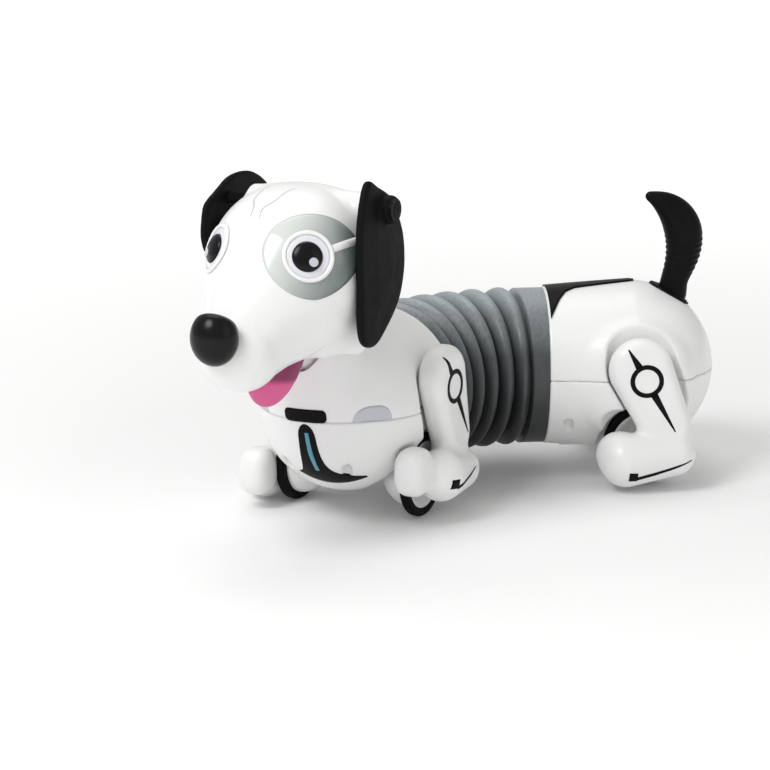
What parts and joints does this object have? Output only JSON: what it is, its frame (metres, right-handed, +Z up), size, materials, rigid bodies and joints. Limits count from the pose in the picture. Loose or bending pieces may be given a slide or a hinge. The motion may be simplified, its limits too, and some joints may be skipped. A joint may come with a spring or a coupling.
{
  "type": "robot dog toy",
  "caption": "Long-bodied robot dog toy with a bellows waist, wheels behind raised paws, a turning and nodding head, swinging ears and a wagging tail.",
  "frame": {"origin": "bottom centre of the whole toy's bounding box, on the floor under it", "axes": "+Z up, +X the way the rear half of the body points; the front half is bent to +Y at rest"},
  "size_m": [0.211, 0.2058, 0.138],
  "materials": {
    "white_plastic": "satin injection-moulded white",
    "black_plastic": "glossy black",
    "black_rubber": "soft satin black",
    "tyre": "matte black",
    "grey_rubber": "satin silver-grey",
    "pink_plastic": "satin pink",
    "blue_lens": "clear blue",
    "grey_plastic": "matte grey",
    "steel": "bright",
    "board": "solder mask",
    "cells": "printed sleeve"
  },
  "bodies": {
    "rear_body": {"rear_upper_shell": "white_plastic", "rear_lower_shell": "white_plastic", "saddle_panel": "black_plastic", "battery_door": "white_plastic", "tail_socket": "grey_plastic", "battery_cells": "cells", "rear_axle": "steel", "rear_waist_frame": "grey_plastic", "rear_spine_pin": "steel", "rear_screws": "steel"},
    "rear_left_wheel": {"rear_left_wheel_hub": "white_plastic", "rear_left_tyre": "tyre"},
    "rear_right_wheel": {"rear_right_wheel_hub": "white_plastic", "rear_right_tyre": "tyre"},
    "power_switch": {"power_switch": "black_plastic"},
    "tail": {"tail": "black_rubber"},
    "rear_left_leg": {"rear_left_leg": "white_plastic", "rear_left_leg_pin": "steel"},
    "rear_right_leg": {"rear_right_leg": "white_plastic", "rear_right_leg_pin": "steel"},
    "waist_link": {"spine_link": "grey_plastic", "bellows": "grey_rubber"},
    "front_body": {"front_upper_shell": "white_plastic", "front_lower_shell": "white_plastic", "chest_sensor_window": "black_plastic", "chest_light_lens": "blue_lens", "chest_trim": "black_plastic", "neck_pivot_post": "grey_plastic", "front_gearbox": "grey_plastic", "drive_motors": "steel", "motor_bracket": "grey_plastic", "front_circuit_board": "board", "speaker": "black_plastic", "front_waist_frame": "grey_plastic", "front_spine_pin": "steel", "front_screws": "steel"},
    "front_left_wheel": {"front_left_wheel_hub": "white_plastic", "front_left_tyre": "tyre", "front_left_axle": "steel"},
    "front_right_wheel": {"front_right_wheel_hub": "white_plastic", "front_right_tyre": "tyre", "front_right_axle": "steel"},
    "front_left_leg": {"front_left_leg": "white_plastic", "front_left_leg_pin": "steel"},
    "front_right_leg": {"front_right_leg": "white_plastic", "front_right_leg_pin": "steel"},
    "neck": {"neck_yoke": "grey_plastic"},
    "head": {"face_shell": "white_plastic", "head_back_shell": "white_plastic", "nose": "black_plastic", "tongue": "pink_plastic", "left_eye": "white_plastic", "left_pupil": "black_plastic", "right_eye": "white_plastic", "right_pupil": "black_plastic", "left_ear_pin": "black_plastic", "right_ear_pin": "black_plastic", "head_nod_pin": "steel"},
    "left_ear": {"left_ear": "black_plastic"},
    "right_ear": {"right_ear": "black_plastic"}
  },
  "joints": [
    {"name": "waist_rear", "type": "hinge", "parent": "rear_body", "child": "waist_link", "pos_m": [-0.01271, -0.05208, 0.0447], "axis": [0, 0, 1], "range_deg": [-60, 0], "deforming": ["bellows"]},
    {"name": "waist_front", "type": "hinge", "parent": "waist_link", "child": "front_body", "pos_m": [0.02451, -0.0306, 0.0447], "axis": [0, 0, 1], "range_deg": [-60, 0]},
    {"name": "head_turn", "type": "hinge", "parent": "front_body", "child": "neck", "pos_m": [0.0636, 0.03712, 0.099], "axis": [0, 0, 1], "range_deg": [-30, 30]},
    {"name": "head_nod", "type": "hinge", "parent": "neck", "child": "head", "pos_m": [0.0636, 0.03712, 0.099], "axis": [-0.866, 0.5, 0], "range_deg": [-12, 8]},
    {"name": "left_ear_swing", "type": "hinge", "parent": "head", "child": "left_ear", "pos_m": [0.0367, 0.06073, 0.128], "axis": [-0.866, 0.5, 0], "range_deg": [-15, 55]},
    {"name": "front_left_wheel_spin", "type": "hinge", "parent": "front_body", "child": "front_left_wheel", "pos_m": [0.01893, 0.01834, 0.0166], "axis": [-0.866, 0.5, 0], "continuous": true},
    {"name": "rear_left_wheel_spin", "type": "hinge", "parent": "rear_body", "child": "rear_left_wheel", "pos_m": [-0.0737, -0.02428, 0.0166], "axis": [0, 1, 0], "continuous": true},
    {"name": "front_left_leg_lift", "type": "slide", "parent": "front_body", "child": "front_left_leg", "axis": [0, 0, 1], "range_m": [-0.008, 0]},
    {"name": "rear_left_leg_lift", "type": "slide", "parent": "rear_body", "child": "rear_left_leg", "axis": [0, 0, 1], "range_m": [0, 0.008]},
    {"name": "right_ear_swing", "type": "hinge", "parent": "head", "child": "right_ear", "pos_m": [0.0975, 0.02563, 0.128], "axis": [-0.866, 0.5, 0], "range_deg": [-67, 3]},
    {"name": "front_right_wheel_spin", "type": "hinge", "parent": "front_body", "child": "front_right_wheel", "pos_m": [0.06968, -0.01096, 0.0166], "axis": [-0.866, 0.5, 0], "continuous": true},
    {"name": "rear_right_wheel_spin", "type": "hinge", "parent": "rear_body", "child": "rear_right_wheel", "pos_m": [-0.0737, -0.07988, 0.0166], "axis": [0, 1, 0], "continuous": true},
    {"name": "front_right_leg_lift", "type": "slide", "parent": "front_body", "child": "front_right_leg", "axis": [0, 0, 1], "range_m": [0, 0.008]},
    {"name": "rear_right_leg_lift", "type": "slide", "parent": "rear_body", "child": "rear_right_leg", "axis": [0, 0, 1], "range_m": [0, 0.008]},
    {"name": "tail_wag", "type": "hinge", "parent": "rear_body", "child": "tail", "pos_m": [-0.0884, -0.05208, 0.081], "axis": [0, 0, 1], "range_deg": [-20, 20], "stiffness_Nm_per_rad": 0.02},
    {"name": "power_switch_slide", "type": "slide", "parent": "rear_body", "child": "power_switch", "axis": [0, 1, 0], "range_m": [0, 0.003]}
  ],
  "couplings": [
    {"joint": "waist_front", "follows": "waist_rear", "ratio": 1}
  ]
}
